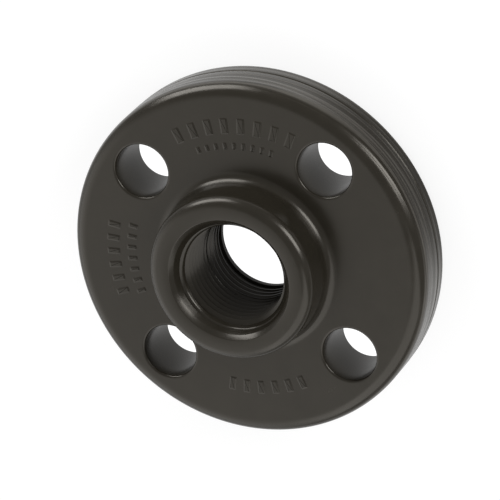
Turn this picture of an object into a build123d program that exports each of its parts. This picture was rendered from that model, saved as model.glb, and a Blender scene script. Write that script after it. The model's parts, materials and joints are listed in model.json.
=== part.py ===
from build123d import *

import math
import os

# A threaded pipe flange for 1 inch pipe, moulded in one piece from glass-filled plastic.
# Sizes are in millimetres. The origin is the centre of the raised sealing face, on which
# the flange lies, and +Z runs up the bore towards the hub.

# Bore: a straight way at the size of the thread's crests, open at both ends.
bore_diameter = 28.8
bore_back_rounding = 0.5

# Mouth: a chamfer at the hub's top, then the steeper cone in which the thread starts.
thread_room = 2.8
mouth_chamfer = 1.2
lead_in_half_angle = 30.0

# Hub: the collar that holds the thread, a little wider at its root to leave the mould.
hub_wall = 7.6
hub_height = 13.4
hub_draft = 1.0
hub_top_rounding = 3.0
hub_root_fillet = 2.6

# Bolt holes, with a flat seat for a nut or washer between them and the hub.
bolt_hole_diameter = 16.2
bolt_hole_count = 4
first_bolt_hole_angle = 45.0
bolt_hole_rounding = 1.0
nut_seat_land = 6.8

# Disc: its rim narrows both ways from the seam where the mould parts.
rim_land = 6.2
disc_thickness = 18.2
rim_draft = 0.8
rim_front_rounding = 3.8
rim_back_rounding = 2.2
seam_height = 6.2
seam_width = 0.9
seam_depth = 0.35

# Raised sealing face on the back, a little wider than the hub.
raised_face_margin = 0.6
raised_face_height = 1.6
raised_face_rounding = 0.4

# Radii, worked outwards from the bore, so that each wall and land keeps its own width.
bore_radius = bore_diameter / 2
mouth_radius = bore_radius + thread_room
hub_radius = mouth_radius + hub_wall
raised_face_radius = hub_radius + raised_face_margin
bolt_hole_radius = bolt_hole_diameter / 2
bolt_circle_radius = hub_radius + nut_seat_land + bolt_hole_radius
rim_radius = bolt_circle_radius + bolt_hole_radius + rim_land

# Heights above the sealing face.
disc_back = raised_face_height
disc_front = disc_back + disc_thickness
hub_top = disc_front + hub_height
seam_bottom = disc_back + seam_height - seam_width / 2
seam_top = seam_bottom + seam_width
lead_in_top = hub_top - mouth_chamfer
lead_in_depth = thread_room / math.tan(math.radians(lead_in_half_angle))


def drafted(radius, height, draft):
    """The radius that a wall has narrowed or, for a negative draft, widened to over a height."""
    return radius - height * math.tan(math.radians(draft))


def half_section():
    """Half of the cross-section, from the bore's wall out to the rim, with its corners rounded."""
    bore_back = (bore_radius, 0)
    sealing_edge = (raised_face_radius, 0)
    sealing_root = (raised_face_radius, disc_back)
    rim_back = (drafted(rim_radius, seam_bottom - disc_back, rim_draft), disc_back)
    below_seam = (rim_radius, seam_bottom)
    seam_floor = (rim_radius - seam_depth, (seam_bottom + seam_top) / 2)
    above_seam = (rim_radius, seam_top)
    rim_front = (drafted(rim_radius, disc_front - seam_top, rim_draft), disc_front)
    hub_root = (drafted(hub_radius, hub_height, -hub_draft), disc_front)
    hub_edge = (hub_radius, hub_top)
    chamfer_edge = (mouth_radius + mouth_chamfer, hub_top)
    chamfer_foot = (mouth_radius, lead_in_top)
    bore_start = (bore_radius, lead_in_top - lead_in_depth)

    roundings = (
        (bore_back, bore_back_rounding),
        (sealing_edge, raised_face_rounding),
        (sealing_root, raised_face_rounding),
        (rim_back, rim_back_rounding),
        (rim_front, rim_front_rounding),
        (hub_root, hub_root_fillet),
        (hub_edge, hub_top_rounding),
    )
    with BuildSketch(Plane.XZ) as section:
        with BuildLine():
            Polyline(bore_back, sealing_edge, sealing_root, rim_back)
            Polyline(rim_back, below_seam, seam_floor, above_seam, rim_front)
            Polyline(rim_front, hub_root, hub_edge, chamfer_edge)
            Polyline(chamfer_edge, chamfer_foot, bore_start, bore_back)
        make_face()
        for corner, rounding in roundings:
            fillet(section.vertices().sort_by_distance(corner)[0], rounding)
    return section.sketch


def is_outside_hub(edge):
    """Whether a circular edge belongs to a bolt hole, whose centre stands off the bore's axis."""
    return math.hypot(edge.arc_center.X, edge.arc_center.Y) > hub_radius


def flange():
    """The moulding: the section turned round the bore, with the bolt holes through its disc."""
    with BuildPart() as moulding:
        add(half_section())
        revolve(axis=Axis.Z)
        with Locations((0, 0, (disc_back + disc_front) / 2)):
            with PolarLocations(bolt_circle_radius, bolt_hole_count, first_bolt_hole_angle):
                Cylinder(bolt_hole_radius, 2 * disc_thickness, mode=Mode.SUBTRACT)
        bolt_hole_edges = moulding.edges().filter_by(GeomType.CIRCLE).filter_by(is_outside_hub)
        fillet(bolt_hole_edges, bolt_hole_rounding)
    return moulding.part


os.makedirs("parts", exist_ok=True)
part = flange()
part.label = "flange"
export_step(part, "parts/flange.step")

print(f"bolt circle {2 * bolt_circle_radius:.2f}, disc {2 * rim_radius:.2f} across, {hub_top:.2f} long")
print(f"straight bore wall from {bore_back_rounding:.2f} to {lead_in_top - lead_in_depth:.3f}")
print(f"volume {part.volume / 1000:.2f} cm3, {len(part.solids())} solid, valid {part.is_valid}")
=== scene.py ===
import json
import math

import bmesh
import bpy
from mathutils import Matrix, Vector


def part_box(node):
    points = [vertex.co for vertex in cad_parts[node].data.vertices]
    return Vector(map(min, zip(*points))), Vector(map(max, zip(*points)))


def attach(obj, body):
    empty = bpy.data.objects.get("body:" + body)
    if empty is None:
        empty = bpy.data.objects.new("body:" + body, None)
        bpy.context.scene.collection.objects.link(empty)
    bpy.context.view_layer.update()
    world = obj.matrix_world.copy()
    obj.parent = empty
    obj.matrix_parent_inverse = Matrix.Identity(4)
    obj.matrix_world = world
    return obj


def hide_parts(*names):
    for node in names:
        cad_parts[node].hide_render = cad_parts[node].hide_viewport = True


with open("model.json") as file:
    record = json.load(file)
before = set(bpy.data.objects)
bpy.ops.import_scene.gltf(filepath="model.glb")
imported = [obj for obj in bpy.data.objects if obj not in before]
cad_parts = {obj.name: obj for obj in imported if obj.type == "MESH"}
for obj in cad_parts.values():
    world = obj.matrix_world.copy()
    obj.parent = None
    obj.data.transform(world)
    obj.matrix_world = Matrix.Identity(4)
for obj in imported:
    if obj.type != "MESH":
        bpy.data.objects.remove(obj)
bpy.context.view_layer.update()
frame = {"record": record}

# The flange is one injection moulding of dark glass-filled plastic, whose outer form is turned
# about its bore. First comes the rim of its thick disc, which narrows both ways from the seam
# where the mould parts, and has three shallow hollows round it.
mm = 0.001
lowest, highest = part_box("flange")
rim_radius = highest.x
hub_top = highest.z
hub_height = 13.4 * mm
disc_thickness = 18.2 * mm
disc_front = hub_top - hub_height
disc_back = disc_front - disc_thickness

rim_draft = math.radians(0.8)
rim_front_rounding = 3.8 * mm
rim_back_rounding = 2.2 * mm
seam_height = disc_back + 6.2 * mm
seam_width = 0.9 * mm
seam_depth = 0.35 * mm
seam_edge_rounding = 0.07 * mm
rim_hollows = (disc_back + 13.0 * mm, disc_back + 10.2 * mm, disc_back + 3.3 * mm)
rim_hollow_width = 1.9 * mm
rim_hollow_depth = 0.09 * mm

flat_beside_rounding = 0.5 * mm
rounding_facet = 0.45 * mm
fewest_facets = 3
facets_round = 192


def corner(radius, height, rounding=0.0):
    """A corner of a half section: how far it is from the axis, its height and its rounding."""
    return radius, height, rounding


def turned(corners, centre=Vector((0, 0, 0)), facets=facets_round):
    """Draws a half section through its corners, rounds them and spins it all the way round."""
    surface = bmesh.new()
    verts = [surface.verts.new(centre + Vector((radius, 0, height))) for radius, height, _ in corners]
    for pair in zip(verts, verts[1:]):
        surface.edges.new(pair)
    for vert, (_, _, rounding) in zip(verts, corners):
        if rounding:
            before, after = (edge.other_vert(vert).co - vert.co for edge in vert.link_edges)
            bmesh.ops.bevel(
                surface, geom=[vert], offset=rounding / math.tan(before.angle(after) / 2),
                offset_type="ABSOLUTE", segments=max(fewest_facets, math.ceil(rounding / rounding_facet)),
                profile=0.5, affect="VERTICES", material=-1,
            )
    bmesh.ops.spin(
        surface, geom=surface.verts[:] + surface.edges[:], cent=centre, axis=(0, 0, 1),
        dvec=(0, 0, 0), angle=math.tau, steps=facets, use_merge=True,
    )
    return surface


def add_surface(whole, surface):
    """Adds a surface to the rest of the moulding, and lets go of it."""
    carried = bpy.data.meshes.new("carried")
    surface.to_mesh(carried)
    surface.free()
    whole.from_mesh(carried)
    bpy.data.meshes.remove(carried)


def narrowed(radius, height, draft):
    """The radius that a drafted wall has come in to over a height."""
    return radius - height * math.tan(draft)


def rim_hollow(height):
    """The three corners of a shallow hollow round the drafted rim."""
    half_width = rim_hollow_width / 2
    heights = (height + half_width, height, height - half_width)
    depths = (0, rim_hollow_depth, 0)
    return [
        corner(narrowed(rim_radius, abs(at - seam_height), rim_draft) - depth, at)
        for at, depth in zip(heights, depths)
    ]


rim_front = narrowed(rim_radius, disc_front - seam_height, rim_draft)
rim_back = narrowed(rim_radius, seam_height - disc_back, rim_draft)
front_face_edge = rim_front - rim_front_rounding - flat_beside_rounding
back_face_edge = rim_back - rim_back_rounding - flat_beside_rounding

flange_mesh = bmesh.new()
add_surface(flange_mesh, turned([
    corner(front_face_edge, disc_front),
    corner(rim_front, disc_front, rim_front_rounding),
    *rim_hollow(rim_hollows[0]),
    *rim_hollow(rim_hollows[1]),
    corner(rim_radius, seam_height + seam_width / 2, seam_edge_rounding),
    corner(rim_radius - seam_depth, seam_height, seam_edge_rounding),
    corner(rim_radius, seam_height - seam_width / 2, seam_edge_rounding),
    *rim_hollow(rim_hollows[2]),
    corner(rim_back, disc_back, rim_back_rounding),
    corner(back_face_edge, disc_back),
]))

# The thread is a taper pipe thread, moulded into the bore: 11.5 turns to the inch, right-handed,
# narrowing 1 in 16. Its crests start in the mouth's cone, are cut back where the bore is wider
# than they are, and end in a run-out groove ahead of the plain lip at the far end.
mounts = {mount["name"]: mount for mount in frame["record"]["mounts"]}
bore_radius = mounts["pipe_thread"]["dims"]["r_mm"] * mm
inch = 25.4 * mm
turns_to_the_inch = 11.5
pitch = inch / turns_to_the_inch
thread_taper = 1 / 16 / 2
thread_depth = 0.8 * pitch
mouth_crest_radius = 14.85 * mm
mouth_root_radius = mouth_crest_radius + thread_depth
flank_half_angle = math.radians(30)
flank_rows = 6

mouth_edge_radius = 18.4 * mm
mouth_chamfer = 1.2 * mm
lead_in_half_angle = math.radians(30)
lead_in_top = hub_top - mouth_chamfer
lead_in_radius = mouth_edge_radius - mouth_chamfer
thread_inset = 0.6 * mm
thread_top = lead_in_top - thread_inset
runout_radius = 15.1 * mm
runout_top = 3.3 * mm
runout_bottom = 2.6 * mm
runout_middle = (runout_top + runout_bottom) / 2

spoke_angle = math.tau / facets_round
weld_distance = 0.001 * mm
cut_distance = 0.0001 * mm


def bore_limit(height):
    """How wide the bore already is at a height, before the thread is cut into it."""
    lead_in = lead_in_radius - (lead_in_top - height) * math.tan(lead_in_half_angle)
    runout = runout_radius - max(0.0, height - runout_top)
    return max(bore_radius, lead_in, runout)


def verts_among(parts):
    """The vertices among the vertices, edges and faces in a list."""
    return [part for part in parts if isinstance(part, bmesh.types.BMVert)]


def level_end(mesh, height, outward):
    """Cuts the wound surface level at a height and draws the cut's corners to the nearest spoke."""
    bmesh.ops.bisect_plane(
        mesh, geom=mesh.verts[:] + mesh.edges[:] + mesh.faces[:], dist=cut_distance,
        plane_co=(0, 0, height), plane_no=(0, 0, outward), clear_outer=True,
    )
    for vert in mesh.verts:
        if abs(vert.co.z - height) < weld_distance:
            spoke = round(math.atan2(vert.co.y, vert.co.x) / spoke_angle)
            to_spoke = Matrix.Rotation(spoke * spoke_angle, 3, "Z")
            vert.co = to_spoke @ Vector((bore_limit(height), 0, height))
    bmesh.ops.remove_doubles(mesh, verts=mesh.verts[:], dist=weld_distance)


def wound_thread():
    """Winds one turn of the thread's profile, stacks it up the bore and cuts both ends level."""
    mesh = bmesh.new()
    flank = thread_depth * math.tan(flank_half_angle)
    flat = (pitch - 2 * flank) / 2
    profile = [
        (mouth_root_radius, 0),
        (mouth_root_radius, flat / 2),
        (mouth_crest_radius, flat / 2 + flank),
        (mouth_crest_radius, flat * 3 / 2 + flank),
        (mouth_root_radius, pitch - flat / 2),
        (mouth_root_radius, pitch),
    ]
    verts = [mesh.verts.new((radius, 0, height)) for radius, height in profile]
    rows = [mesh.edges.new(pair) for pair in zip(verts, verts[1:])]
    flanks = [rows[1], rows[3]]
    bmesh.ops.subdivide_edges(mesh, edges=flanks, cuts=flank_rows - 1)
    bmesh.ops.spin(
        mesh, geom=mesh.verts[:] + mesh.edges[:], cent=(0, 0, 0), axis=(0, 0, 1),
        dvec=(0, 0, pitch / facets_round), angle=math.tau, steps=facets_round, use_merge=False,
    )
    one_turn = mesh.verts[:] + mesh.edges[:] + mesh.faces[:]
    for turn in range(math.ceil(thread_top / pitch)):
        stacked = bmesh.ops.duplicate(mesh, geom=one_turn)["geom"]
        bmesh.ops.translate(mesh, verts=verts_among(stacked), vec=(0, 0, turn * pitch))
    bmesh.ops.delete(mesh, geom=verts_among(one_turn))
    bmesh.ops.remove_doubles(mesh, verts=mesh.verts[:], dist=weld_distance)
    for vert in mesh.verts:
        taken_in = thread_taper * (hub_top - vert.co.z)
        radius = max(vert.co.xy.length - taken_in, bore_limit(vert.co.z))
        vert.co.xy = vert.co.xy.normalized() * radius
    level_end(mesh, thread_top, 1)
    level_end(mesh, runout_middle, -1)
    return mesh


add_surface(flange_mesh, wound_thread())

# The hub is the collar that holds the thread. Its wall is drafted to leave the mould, between a
# fillet at its root and a rounded top, and its mouth is chamfered down to the cone in which the
# thread starts.
hub_radius = 24.8 * mm
hub_draft = math.radians(1)
hub_top_rounding = 3.0 * mm
hub_root_fillet = 2.6 * mm
mouth_edge_rounding = 0.28 * mm
mouth_foot_rounding = 0.2 * mm

hub_root = narrowed(hub_radius, hub_height, -hub_draft)
hub_foot = hub_root + hub_root_fillet + flat_beside_rounding
add_surface(flange_mesh, turned([
    corner(hub_foot, disc_front),
    corner(hub_root, disc_front, hub_root_fillet),
    corner(hub_radius, hub_top, hub_top_rounding),
    corner(mouth_edge_radius, hub_top, mouth_edge_rounding),
    corner(lead_in_radius, lead_in_top, mouth_foot_rounding),
    corner(bore_limit(thread_top), thread_top),
]))

# The sealing face stands proud of the disc's back, where a gasket is pressed against it, and four
# fine grooves in it grip the gasket. The plain lip of the bore opens in its middle.
sealing_radius = 25.4 * mm
sealing_rounding = 0.4 * mm
gasket_groove_radii = (17.4 * mm, 19.2 * mm, 21.0 * mm, 22.8 * mm)
gasket_groove_width = 0.7 * mm
gasket_groove_depth = 0.3 * mm
lip_top = runout_bottom - (runout_radius - bore_radius)
lip_rounding = 0.5 * mm

gasket_grooves = []
for groove_radius in gasket_groove_radii:
    gasket_grooves.append(corner(groove_radius - gasket_groove_width / 2, 0))
    gasket_grooves.append(corner(groove_radius, gasket_groove_depth))
    gasket_grooves.append(corner(groove_radius + gasket_groove_width / 2, 0))
sealing_foot = sealing_radius + sealing_rounding + flat_beside_rounding
add_surface(flange_mesh, turned([
    corner(runout_radius, runout_middle),
    corner(runout_radius, runout_bottom),
    corner(bore_radius, lip_top),
    corner(bore_radius, 0, lip_rounding),
    *gasket_grooves,
    corner(sealing_radius, 0, sealing_rounding),
    corner(sealing_radius, disc_back, sealing_rounding),
    corner(sealing_foot, disc_back),
]))

# Four bolt holes go through the disc. They are moulded by plain core pins, and both ends of each
# are rounded a little where the pin meets the face.
bolts = mounts["bolts"]["dims"]
bolt_circle_radius = bolts["pcd_mm"] * mm / 2
bolt_hole_radius = bolts["hole_r_mm"] * mm
bolt_hole_rounding = 0.6 * mm
bolt_hole_margin = 0.35 * mm
first_bolt_hole = math.radians(45)
bolt_hole_facets = 96

bolt_hole_edge = bolt_hole_radius + bolt_hole_rounding + bolt_hole_margin
for number in range(bolts["count"]):
    round_bolt_circle = Matrix.Rotation(first_bolt_hole + number * math.tau / bolts["count"], 3, "Z")
    bolt_hole_centre = round_bolt_circle @ Vector((bolt_circle_radius, 0, 0))
    add_surface(flange_mesh, turned([
        corner(bolt_hole_edge, disc_front),
        corner(bolt_hole_radius, disc_front, bolt_hole_rounding),
        corner(bolt_hole_radius, disc_back, bolt_hole_rounding),
        corner(bolt_hole_edge, disc_back),
    ], bolt_hole_centre, bolt_hole_facets))

# Low raised ribs stand on the front face in rows round the hub, beside and between the bolt holes.
# They are plain marks of the mould, under a fifth of a millimetre high with soft drafted sides.
rib_relief = 0.14 * mm
rib_draft = 0.26 * mm
rib_soft_edge = 0.16 * mm
rib_corner = 0.45 * mm
rib_rows = [
    dict(middle=87, radius=41.6 * mm, count=8, pitch=5.0 * mm, width=2.6 * mm, length=5.0 * mm),
    dict(middle=87, radius=35.6 * mm, count=9, pitch=2.8 * mm, width=1.5 * mm, length=2.4 * mm),
    dict(middle=178, radius=41.0 * mm, count=6, pitch=4.2 * mm, width=2.2 * mm, length=4.2 * mm),
    dict(middle=178, radius=35.2 * mm, count=7, pitch=3.4 * mm, width=1.7 * mm, length=3.2 * mm),
    dict(middle=272, radius=39.0 * mm, count=6, pitch=4.4 * mm, width=2.3 * mm, length=4.4 * mm),
]


def add_rib(mesh, angle, radius, width, length):
    """Lays a rib's outline on the front face, rounds its corners and raises it with drafted sides."""
    corners = [(-length, -width), (length, -width), (length, width), (-length, width)]
    round_hub = Matrix.Rotation(angle, 3, "Z")
    verts = [mesh.verts.new(round_hub @ Vector((radius + x / 2, y / 2, disc_front))) for x, y in corners]
    mesh.faces.new(verts)
    rounded = bmesh.ops.bevel(
        mesh, geom=verts, offset=rib_corner, offset_type="ABSOLUTE", segments=fewest_facets,
        profile=0.5, affect="VERTICES", material=-1,
    )
    top = rounded["verts"][0].link_faces[:]
    for step_in, step_up in ((rib_soft_edge, 0), (rib_draft, rib_relief), (rib_soft_edge, 0)):
        bmesh.ops.inset_individual(mesh, faces=top, thickness=step_in, depth=step_up)


for row in rib_rows:
    for place in range(row["count"]):
        along = (place - (row["count"] - 1) / 2) * row["pitch"]
        rib_angle = math.radians(row["middle"]) - along / row["radius"]
        add_rib(flange_mesh, rib_angle, row["radius"], row["width"], row["length"])

# Both flat faces of the disc are filled between the rim, the hub or sealing face, the bolt holes
# and the ribs. That closes the moulding, whose gentle bends are then shaded smooth.
sharp_edge = math.radians(38)


def fill_face(mesh, height, facing):
    """Fills the flat face at a height up to the open edges that lie in it."""
    open_edges = [
        edge for edge in mesh.edges
        if edge.is_boundary and all(abs(vert.co.z - height) < weld_distance for vert in edge.verts)
    ]
    bmesh.ops.triangle_fill(mesh, edges=open_edges, use_beauty=True, normal=(0, 0, facing))


bmesh.ops.remove_doubles(flange_mesh, verts=flange_mesh.verts[:], dist=weld_distance)
fill_face(flange_mesh, disc_front, 1)
fill_face(flange_mesh, disc_back, -1)
bmesh.ops.recalc_face_normals(flange_mesh, faces=flange_mesh.faces[:])
flange_data = bpy.data.meshes.new("moulded_flange")
flange_mesh.to_mesh(flange_data)
flange_mesh.free()
flange_data.shade_smooth()
flange_data.set_sharp_from_angle(angle=sharp_edge)
moulded_flange = bpy.data.objects.new("moulded_flange", flange_data)
bpy.context.scene.collection.objects.link(moulded_flange)

# The plastic is a warm near-black with a satin skin. The glass in it mottles and speckles the
# skin, and the mould leaves a fine grain on it. Round the rim the tool's turning marks print faint
# rings, and pale streaks painted along the rim stand in for the bright streaks it mirrors.
plastic_colour = (0.0172, 0.0148, 0.0106, 1)
plastic_pale_colour = (0.029, 0.0252, 0.0182, 1)
# Pale colour of the painted sheen streaks round the rim: painted reflection, not wear.
streak_sheen_colour = (0.082, 0.076, 0.066, 1)
sheen_tint = (1, 0.95, 0.87, 1)
plastic_ior = 1.5
plastic_roughness = 0.17
relief_strength = 0.35
relief_height = 0.06 * mm

mottle_size = 6 * mm
mottle_paleness = 0.5
mottle_roughness = 0.14
mottle_relief = 0.6
speckle_size = 0.6 * mm
speckle_from = 0.6
speckle_to = 0.75
speckle_paleness = 0.25
grain_size = 0.35 * mm
grain_detail = 2.0
grain_relief = 0.09

ring_size = 1.7 * mm
ring_relief = 6.0
streak_sheen_size = 1.1 * mm
streak_sheen_from = 0.49
streak_sheen_to = 0.6
streak_sheen_paleness = 0.7
stretched_round = (0.02, 0.02, 1)
rim_skin_from = rim_radius - 1.2 * mm
rim_skin_to = rim_radius - 0.7 * mm


class Reading:
    """A number that varies over a surface. Arithmetic on it adds Math nodes to its material."""

    def __init__(self, finish, socket):
        self.finish = finish
        self.socket = socket

    def worked(self, operation, first, second):
        return self.finish.node("ShaderNodeMath", {"operation": operation}, {0: first, 1: second})

    def __add__(self, other):
        return self.worked("ADD", self, other)

    def __sub__(self, other):
        return self.worked("SUBTRACT", self, other)

    def __rsub__(self, other):
        return self.worked("SUBTRACT", other, self)

    def __mul__(self, other):
        return self.worked("MULTIPLY", self, other)

    __radd__ = __add__
    __rmul__ = __mul__


class Finish:
    """The nodes of a material or a sky, added one at a time by type, settings and socket values."""

    def __init__(self, owner):
        owner.use_nodes = True
        self.tree = owner.node_tree
        self.tree.nodes.clear()

    def node(self, kind, settings, sockets, output=0):
        """Adds a node and reads one of its outputs, by name or number."""
        made = self.tree.nodes.new(kind)
        for name, value in settings.items():
            if name == "stops":
                for stop, (place, grey) in zip(made.color_ramp.elements, value):
                    stop.position = place
                    stop.color = (grey, grey, grey, 1)
            else:
                setattr(made, name, value)
        for name, value in sockets.items():
            if isinstance(value, Reading):
                self.tree.links.new(value.socket, made.inputs[name])
            else:
                made.inputs[name].default_value = value
        return Reading(self, made.outputs[output]) if made.outputs else None


def noise(finish, where, size, detail=3.0):
    """Noise from 0 to 1 whose lumps are about one size across."""
    return finish.node("ShaderNodeTexNoise", {}, {"Vector": where, "Scale": 1 / size, "Detail": detail})


def picked_out(finish, number, start, end):
    """The places where a number is high: 0 up to where it starts to count, and 1 from its end."""
    return finish.node("ShaderNodeValToRGB", {"stops": [(start, 0), (end, 1)]}, {"Fac": number})


def passing(finish, number, start, end, first=0, last=1, interpolation="LINEAR"):
    """A number that goes from its first to its last value while another goes from start to end."""
    return finish.node(
        "ShaderNodeMapRange", {"interpolation_type": interpolation},
        {"Value": number, "From Min": start, "From Max": end, "To Min": first, "To Max": last},
    )


def mixed(finish, share, colour, other_colour):
    """One colour with a share of another."""
    return finish.node(
        "ShaderNodeMix", {"data_type": "RGBA"}, {"Factor": share, "A": colour, "B": other_colour}, 2
    )


def moulded_plastic():
    """The one plastic of the whole moulding, with painted sheen streaks only round the rim."""
    material = bpy.data.materials.new("moulded_plastic")
    plastic = Finish(material)
    where = plastic.node("ShaderNodeTexCoord", {}, {}, "Object")
    mottle = noise(plastic, where, mottle_size)
    grain = noise(plastic, where, grain_size, grain_detail)
    speckle = picked_out(plastic, noise(plastic, where, speckle_size), speckle_from, speckle_to)

    round_rim = plastic.node("ShaderNodeMapping", {}, {"Vector": where, "Scale": stretched_round})
    rings = noise(plastic, round_rim, ring_size)
    # Pale streaks round the rim, painted into the colour to stand in for the light the rim mirrors.
    painted_streak_sheen = picked_out(plastic, noise(plastic, round_rim, streak_sheen_size), streak_sheen_from, streak_sheen_to)
    outward = plastic.node("ShaderNodeVectorMath", {"operation": "MULTIPLY"}, {0: where, 1: (1, 1, 0)})
    radius = plastic.node("ShaderNodeVectorMath", {"operation": "LENGTH"}, {0: outward}, "Value")
    on_rim = passing(plastic, radius, rim_skin_from, rim_skin_to)

    paleness = mottle * mottle_paleness + speckle * speckle_paleness
    unstreaked_colour = mixed(plastic, paleness, plastic_colour, plastic_pale_colour)
    colour = mixed(plastic, painted_streak_sheen * on_rim * streak_sheen_paleness, unstreaked_colour, streak_sheen_colour)
    relief = grain * grain_relief + mottle * mottle_relief + rings * on_rim * ring_relief
    bump = plastic.node(
        "ShaderNodeBump", {}, {"Height": relief, "Strength": relief_strength, "Distance": relief_height}
    )
    surface = plastic.node("ShaderNodeBsdfPrincipled", {}, {
        "Base Color": colour,
        "Roughness": plastic_roughness + mottle * mottle_roughness,
        "Normal": bump,
        "IOR": plastic_ior,
        "Specular Tint": sheen_tint,
    })
    plastic.node("ShaderNodeOutputMaterial", {}, {"Surface": surface})
    return material


moulded_flange.data.materials.append(moulded_plastic())
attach(moulded_flange, "root")
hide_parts("flange")

# The flange lies on its sealing face on a white studio table that runs to the horizon and keeps
# its shadow, but pure white is painted over that shadow under the bore and the bolt holes. What
# the plastic mirrors of the table is painted too: white, with painted shade under the disc, far
# off and on the camera's side, and dimmer painted light under the holes.
table_reach = 3.0
table_sides = 64
table_below = 0.02 * mm
table_colour = (0.85, 0.85, 0.85, 1)
table_white = 1.17
table_white_seen = 0.7
table_mirrored = 0.72
# Painted shade that the plastic mirrors on the camera's side, far off and under the disc, and dimmer
# painted light under the holes.
near_side_painted_shade = 0.2
near_side_azimuth = 28
near_side_from = math.cos(math.radians(45))
near_side_to = math.cos(math.radians(8))
far_painted_shade = 0.4
far_from = 80 * mm
far_to = 260 * mm
under_disc_from = rim_radius - 6 * mm
under_disc_to = rim_radius - 2 * mm
under_bore_mirrored = 0.25
under_bolt_holes_mirrored = 0.5
# Pure white is painted over the flange's shadow under the bore and the bolt holes, as the camera sees it.
white_edge = 0.6 * mm
white_under_bore = bore_radius + 2.5 * mm
white_under_bolt_hole = bolt_hole_radius + 1 * mm
bolt_hole_reach = bolt_circle_radius * math.cos(first_bolt_hole)


def direction_to(azimuth, elevation=0):
    """The direction from the flange to what stands at an azimuth and an elevation in degrees."""
    level = Vector((math.cos(math.radians(azimuth)), math.sin(math.radians(azimuth)), 0))
    upright = Vector((0, 0, math.sin(math.radians(elevation))))
    return level * math.cos(math.radians(elevation)) + upright


def table_paint():
    """White paint, with light and shade painted by place: pure white over the shadow under the holes to
    the camera, and painted shade in what the plastic mirrors.
    """
    material = bpy.data.materials.new("table_paint")
    paint = Finish(material)
    place = paint.node("ShaderNodeTexCoord", {}, {}, "Object")
    from_bore = paint.node("ShaderNodeVectorMath", {"operation": "LENGTH"}, {0: place}, "Value")
    first_quarter = paint.node("ShaderNodeVectorMath", {"operation": "ABSOLUTE"}, {0: place})
    from_bolt_hole = paint.node(
        "ShaderNodeVectorMath", {"operation": "DISTANCE"},
        {0: first_quarter, 1: (bolt_hole_reach, bolt_hole_reach, 0)}, "Value",
    )
    under_bore = passing(paint, from_bore, white_under_bore, white_under_bore + white_edge, 1, 0)
    under_bolt_hole = passing(
        paint, from_bolt_hole, white_under_bolt_hole, white_under_bolt_hole + white_edge, 1, 0
    )
    # Painted light: the camera sees pure white under the holes, where the flange's shadow falls.
    painted_white_under_holes = under_bore + under_bolt_hole
    brightness_seen = painted_white_under_holes + (1 - painted_white_under_holes) * table_white_seen

    # Painted shade under the disc's edge, on the near side and far off, seen only in the plastic's
    # mirroring.
    painted_shade_under_disc = passing(paint, from_bore, under_disc_from, under_disc_to, 1, 0)
    direction = paint.node("ShaderNodeVectorMath", {"operation": "NORMALIZE"}, {0: place})
    on_near_side = paint.node(
        "ShaderNodeVectorMath", {"operation": "DOT_PRODUCT"},
        {0: direction, 1: direction_to(near_side_azimuth)}, "Value",
    )
    open_table_painted_shade = passing(
        paint, on_near_side, near_side_from, near_side_to, table_mirrored, near_side_painted_shade, "SMOOTHSTEP"
    )
    far_off_painted_shade = passing(paint, from_bore, far_from, far_to, 1, far_painted_shade, "SMOOTHSTEP")
    # Painted light under the holes, dimmer than the open table, seen only in mirroring.
    painted_mirror_under_holes = under_bore * under_bore_mirrored + under_bolt_hole * under_bolt_holes_mirrored
    painted_mirror_brightness = painted_mirror_under_holes + (1 - painted_shade_under_disc) * open_table_painted_shade * far_off_painted_shade

    seen = paint.node("ShaderNodeLightPath", {}, {}, "Is Camera Ray")
    mirrored = paint.node("ShaderNodeLightPath", {}, {}, "Is Glossy Ray")
    lit_paint = paint.node("ShaderNodeBsdfDiffuse", {}, {"Color": table_colour})
    white = paint.node("ShaderNodeEmission", {}, {"Color": (1, 1, 1, 1), "Strength": table_white})
    # A black that stands in for shade in what the plastic mirrors.
    painted_shade_black = paint.node("ShaderNodeEmission", {}, {"Color": (0, 0, 0, 1), "Strength": 0})
    seen_table = paint.node("ShaderNodeMixShader", {}, {0: seen * brightness_seen, 1: lit_paint, 2: white})
    painted_mirror_table = paint.node("ShaderNodeMixShader", {}, {0: painted_mirror_brightness, 1: painted_shade_black, 2: white})
    surface = paint.node("ShaderNodeMixShader", {}, {0: mirrored, 1: seen_table, 2: painted_mirror_table})
    paint.node("ShaderNodeOutputMaterial", {}, {"Surface": surface})
    return material


table_mesh = bmesh.new()
bmesh.ops.create_circle(
    table_mesh, cap_ends=True, radius=table_reach, segments=table_sides,
    matrix=Matrix.Translation((0, 0, lowest.z - table_below)),
)
table_data = bpy.data.meshes.new("table")
table_mesh.to_mesh(table_data)
table_mesh.free()
table_data.materials.append(table_paint())
table = bpy.data.objects.new("table", table_data)
bpy.context.scene.collection.objects.link(table)

# A pale wall lights the flange from across the hub, so that the camera's own side stays dim and
# the hub's lee on the disc shows. Straight to the camera the air is plain white.
wall_azimuth = 212
wall_elevation = 21
dim_light = 0.27
wall_light = 1.4
dim_from = 0.55
wall_from = 1.0


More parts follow.
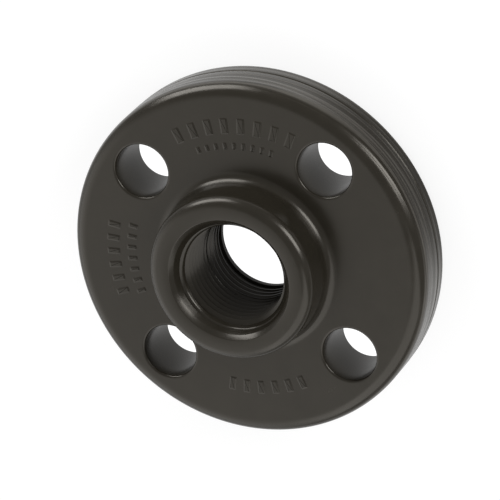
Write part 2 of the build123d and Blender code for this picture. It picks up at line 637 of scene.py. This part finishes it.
def studio_air():
    """The air round the table: dim but for the wall, and white behind all that the camera sees."""
    world = bpy.data.worlds.new("studio")
    air = Finish(world)
    direction = air.node("ShaderNodeTexCoord", {}, {}, "Generated")
    facing_wall = air.node(
        "ShaderNodeVectorMath", {"operation": "DOT_PRODUCT"},
        {0: direction, 1: direction_to(wall_azimuth, wall_elevation)}, "Value",
    )
    lit = passing(air, facing_wall, dim_from, wall_from, dim_light, wall_light, "SMOOTHSTEP")
    seen = air.node("ShaderNodeLightPath", {}, {}, "Is Camera Ray")
    strength = lit * (1 - seen) + seen
    sky = air.node("ShaderNodeBackground", {}, {"Color": (1, 1, 1, 1), "Strength": strength})
    air.node("ShaderNodeOutputWorld", {}, {"Surface": sky})
    return world


bpy.context.scene.world = studio_air()

# Three softboxes do the rest: the large one overhead lights the disc's face from beside the hub,
# and two low ones on the camera's side draw the highlights round the disc's and the hub's edges.
softboxes = [
    dict(name="overhead_softbox", azimuth=290, elevation=42, distance=1, width=1.1, height=0.9, power=3.6),
    dict(name="left_softbox", azimuth=120, elevation=14, distance=0.9, width=0.6, height=0.42, power=4.3),
    dict(name="right_softbox", azimuth=25, elevation=21, distance=0.9, width=0.45, height=0.45, power=4),
]

for box in softboxes:
    lamp = bpy.data.lights.new(box["name"], "AREA")
    lamp.shape = "RECTANGLE"
    lamp.size = box["width"]
    lamp.size_y = box["height"]
    lamp.energy = box["power"]
    outwards = direction_to(box["azimuth"], box["elevation"])
    softbox = bpy.data.objects.new(box["name"], lamp)
    softbox.location = outwards * box["distance"]
    softbox.rotation_euler = outwards.to_track_quat("Z", "Y").to_euler()
    bpy.context.scene.collection.objects.link(softbox)

# The camera looks down on the flange through a long lens, turned so that the hub leans to the
# lower left of the picture, as it does in the photograph.
camera_place = Vector((343.18, 310.63, 777.48)) * mm
camera_turn = [math.radians(angle) for angle in (-23.530, 21.084, -8.487)]
lens_length = 223.39
nearest_seen = 0.01
furthest_seen = 20

camera_data = bpy.data.cameras.new("camera")
camera_data.lens = lens_length
camera_data.clip_start = nearest_seen
camera_data.clip_end = furthest_seen
camera = bpy.data.objects.new("camera", camera_data)
camera.location = camera_place
camera.rotation_euler = camera_turn
bpy.context.scene.collection.objects.link(camera)
bpy.context.scene.camera = camera
bpy.context.scene.view_settings.view_transform = "Standard"
